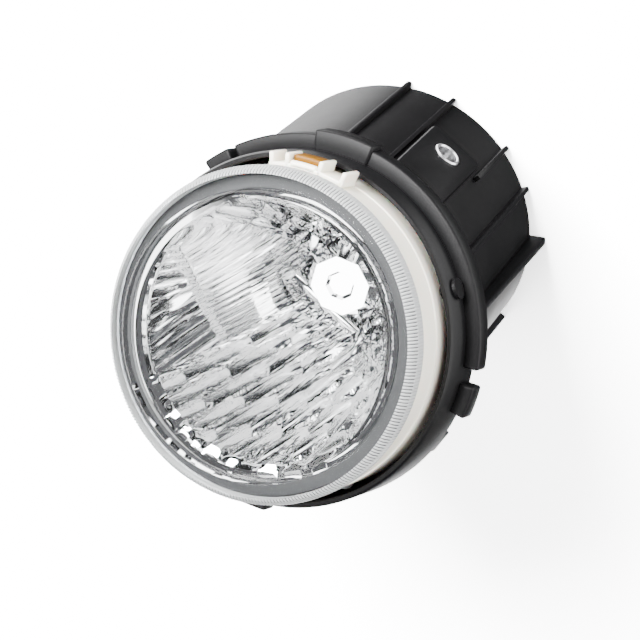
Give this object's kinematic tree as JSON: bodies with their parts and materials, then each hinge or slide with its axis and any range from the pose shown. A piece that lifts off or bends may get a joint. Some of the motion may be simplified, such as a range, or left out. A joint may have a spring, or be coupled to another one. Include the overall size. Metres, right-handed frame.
{
  "type": "fog light",
  "caption": "Round vehicle fog light with a clear ribbed-rim lens, faceted reflector, off-white carrier band, twist-lock mounting ring and ribbed rear shroud.",
  "frame": {"origin": "under the middle of the lamp, in the plane of the shroud's rear edge, on which the lamp stands", "axes": "+Z forward along the shroud's axis, -Y the way the steel side bush points, +X to the right of it seen from the bush side with the lens up"},
  "size_m": [0.1104, 0.1158, 0.1341],
  "materials": {
    "black_plastic": "moulded black plastic with a fine grain",
    "cream_plastic": "glossy off-white moulding",
    "amber_plastic": "smooth amber moulding",
    "clear_lens": "clear moulded lens with a ribbed rim",
    "clear_glass": "clear bulb glass",
    "bright_metal": "aluminised mirror finish",
    "steel": "turned or stamped steel",
    "rubber": "matte dark rubber"
  },
  "bodies": {
    "housing": {"mounting_ring": "black_plastic", "rear_shroud": "black_plastic", "side_bush": "steel", "pivot_pin_1": "steel", "pivot_pin_2": "steel", "shroud_screw_1": "steel", "shroud_screw_2": "steel", "shroud_screw_3": "steel", "adjuster_clip": "steel"},
    "lamp_unit": {"lens": "clear_lens", "lens_seal": "rubber", "reflector": "bright_metal", "carrier_band": "cream_plastic", "latch_bridge": "cream_plastic", "latch_pad": "amber_plastic", "bulb_shield": "bright_metal", "bulb_holder": "black_plastic", "adjuster_nut": "steel", "pivot_bush_1": "steel", "pivot_bush_2": "steel"},
    "bulb": {"bulb_base": "steel", "bulb_glass": "clear_glass", "filament": "steel", "bulb_connector": "black_plastic", "bulb_seal": "rubber", "terminal_1": "steel", "terminal_2": "steel"},
    "adjuster": {"adjuster_screw": "steel"}
  },
  "joints": [
    {"name": "aim_tilt", "type": "hinge", "parent": "housing", "child": "lamp_unit", "pos_m": [0.00102, -0.00092, 0.09472], "axis": [0.515, 0.8572, 0], "range_deg": [-2.5, 2.5]},
    {"name": "bulb_twist", "type": "hinge", "parent": "lamp_unit", "child": "bulb", "pos_m": [-0.00011, -0.01154, 0.0438], "axis": [0, 0, 1], "range_deg": [0, 45]},
    {"name": "adjuster_turn", "type": "hinge", "parent": "housing", "child": "adjuster", "pos_m": [-0.04023, 0.02387, 0.09813], "axis": [0.219, -0.1316, 0.9668], "range_deg": [-180, 180]}
  ]
}
